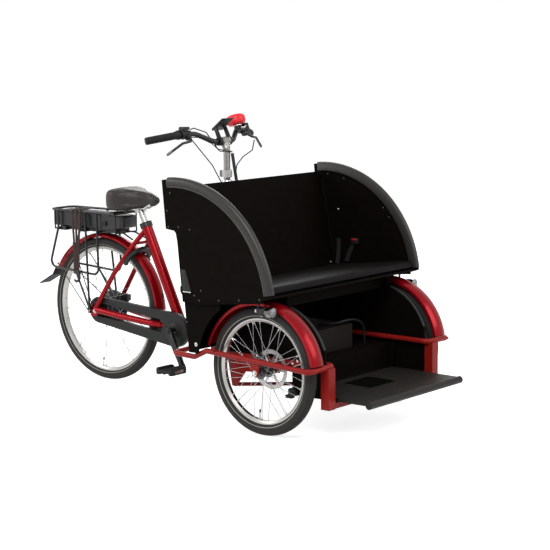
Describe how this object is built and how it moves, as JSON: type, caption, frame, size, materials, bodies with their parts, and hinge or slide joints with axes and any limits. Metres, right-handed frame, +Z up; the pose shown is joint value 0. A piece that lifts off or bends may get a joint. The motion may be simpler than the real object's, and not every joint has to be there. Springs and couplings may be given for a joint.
{
  "type": "electric passenger tricycle",
  "caption": "Electric pedal rickshaw: passenger bench module between steered front wheels, driven rear wheel, rider's saddle, carrier and battery behind.",
  "frame": {"origin": "on the ground under the middle of the length and width", "axes": "+X forward, +Y to the rider's left, +Z up"},
  "size_m": [2.157, 1, 1.2305],
  "materials": {
    "frame_red": "glossy deep red lacquer",
    "panel_black": "matte black sheet",
    "edge_grey": "dark warm grey rubber edging",
    "tyre": "dark grey rubber",
    "rim_silver": "brushed alloy",
    "spoke_steel": "bright stainless",
    "hub_dark": "dark anodised",
    "disc_steel": "ground steel",
    "case_grey": "dark grey plastic",
    "black_metal": "satin black lacquer",
    "silver_metal": "polished alloy",
    "black_rubber": "black rubber",
    "saddle_cover": "dark grey cover",
    "cushion_cover": "black cushion cover",
    "battery_black": "black plastic",
    "lamp_silver": "bright lamp",
    "locker_brown": "dark brown sheet",
    "display_black": "black plastic",
    "bell_red": "glossy red"
  },
  "bodies": {
    "rear_frame": {"rear_frame": "frame_red", "rear_mudguard": "frame_red", "mudguard_stays": "black_metal", "mudflap": "black_rubber", "chain_case": "case_grey", "seat_post": "silver_metal", "seat_clamp": "silver_metal", "saddle": "saddle_cover", "carrier": "black_metal", "carrier_side_right": "black_metal", "carrier_side_left": "black_metal", "battery": "battery_black", "rear_brake": "black_metal", "ring_lock": "black_metal"},
    "front_module": {"side_panel_right": "panel_black", "side_panel_left": "panel_black", "edge_trim_right": "edge_grey", "edge_trim_left": "edge_grey", "lower_side_panel_right": "panel_black", "lower_side_panel_left": "panel_black", "inner_wall_right": "panel_black", "inner_wall_left": "panel_black", "front_fender_right": "frame_red", "front_fender_left": "frame_red", "headlight_right": "lamp_silver", "headlight_left": "lamp_silver", "grip_right": "black_rubber", "grip_left": "black_rubber", "brake_lever_right": "black_metal", "brake_lever_left": "black_metal", "rear_wall": "panel_black", "backrest": "panel_black", "seat_board": "panel_black", "seat_cushion": "cushion_cover", "floor_pan": "panel_black", "locker": "locker_brown", "footboard": "black_metal", "front_frame": "frame_red", "steering_column": "silver_metal", "handlebar": "black_metal", "display_unit": "display_black", "bell": "bell_red", "control_cables": "black_rubber"},
    "rear_wheel": {"rear_wheel_tyre": "tyre", "rear_wheel_rim": "rim_silver", "rear_wheel_hub": "hub_dark", "rear_wheel_spokes": "spoke_steel"},
    "front_wheel_right": {"front_wheel_right_tyre": "tyre", "front_wheel_right_rim": "rim_silver", "front_wheel_right_hub": "hub_dark", "front_wheel_right_spokes": "spoke_steel", "front_wheel_right_disc": "disc_steel"},
    "front_wheel_left": {"front_wheel_left_tyre": "tyre", "front_wheel_left_rim": "rim_silver", "front_wheel_left_hub": "hub_dark", "front_wheel_left_spokes": "spoke_steel", "front_wheel_left_disc": "disc_steel"},
    "crank": {"crank_set": "black_metal"},
    "pedal_right": {"pedal_right": "black_rubber"},
    "pedal_left": {"pedal_left": "black_rubber"}
  },
  "joints": [
    {"name": "steering", "type": "hinge", "parent": "rear_frame", "child": "front_module", "pos_m": [0.0855, 0, 0.63], "axis": [0, 0, 1], "range_deg": [-35, 35]},
    {"name": "rear_wheel_spin", "type": "hinge", "parent": "rear_frame", "child": "rear_wheel", "pos_m": [-0.6565, 0, 0.328], "axis": [0, 1, 0], "continuous": true},
    {"name": "crank_spin", "type": "hinge", "parent": "rear_frame", "child": "crank", "pos_m": [-0.1865, 0, 0.282], "axis": [0, 1, 0], "continuous": true},
    {"name": "front_wheel_right_spin", "type": "hinge", "parent": "front_module", "child": "front_wheel_right", "pos_m": [0.6275, -0.413, 0.257], "axis": [0, 1, 0], "continuous": true},
    {"name": "front_wheel_left_spin", "type": "hinge", "parent": "front_module", "child": "front_wheel_left", "pos_m": [0.6275, 0.413, 0.257], "axis": [0, 1, 0], "continuous": true},
    {"name": "pedal_right_spin", "type": "hinge", "parent": "crank", "child": "pedal_right", "pos_m": [-0.1083, -0.164, 0.131], "axis": [0, 1, 0], "continuous": true},
    {"name": "pedal_left_spin", "type": "hinge", "parent": "crank", "child": "pedal_left", "pos_m": [-0.2647, 0.164, 0.433], "axis": [0, 1, 0], "continuous": true}
  ]
}
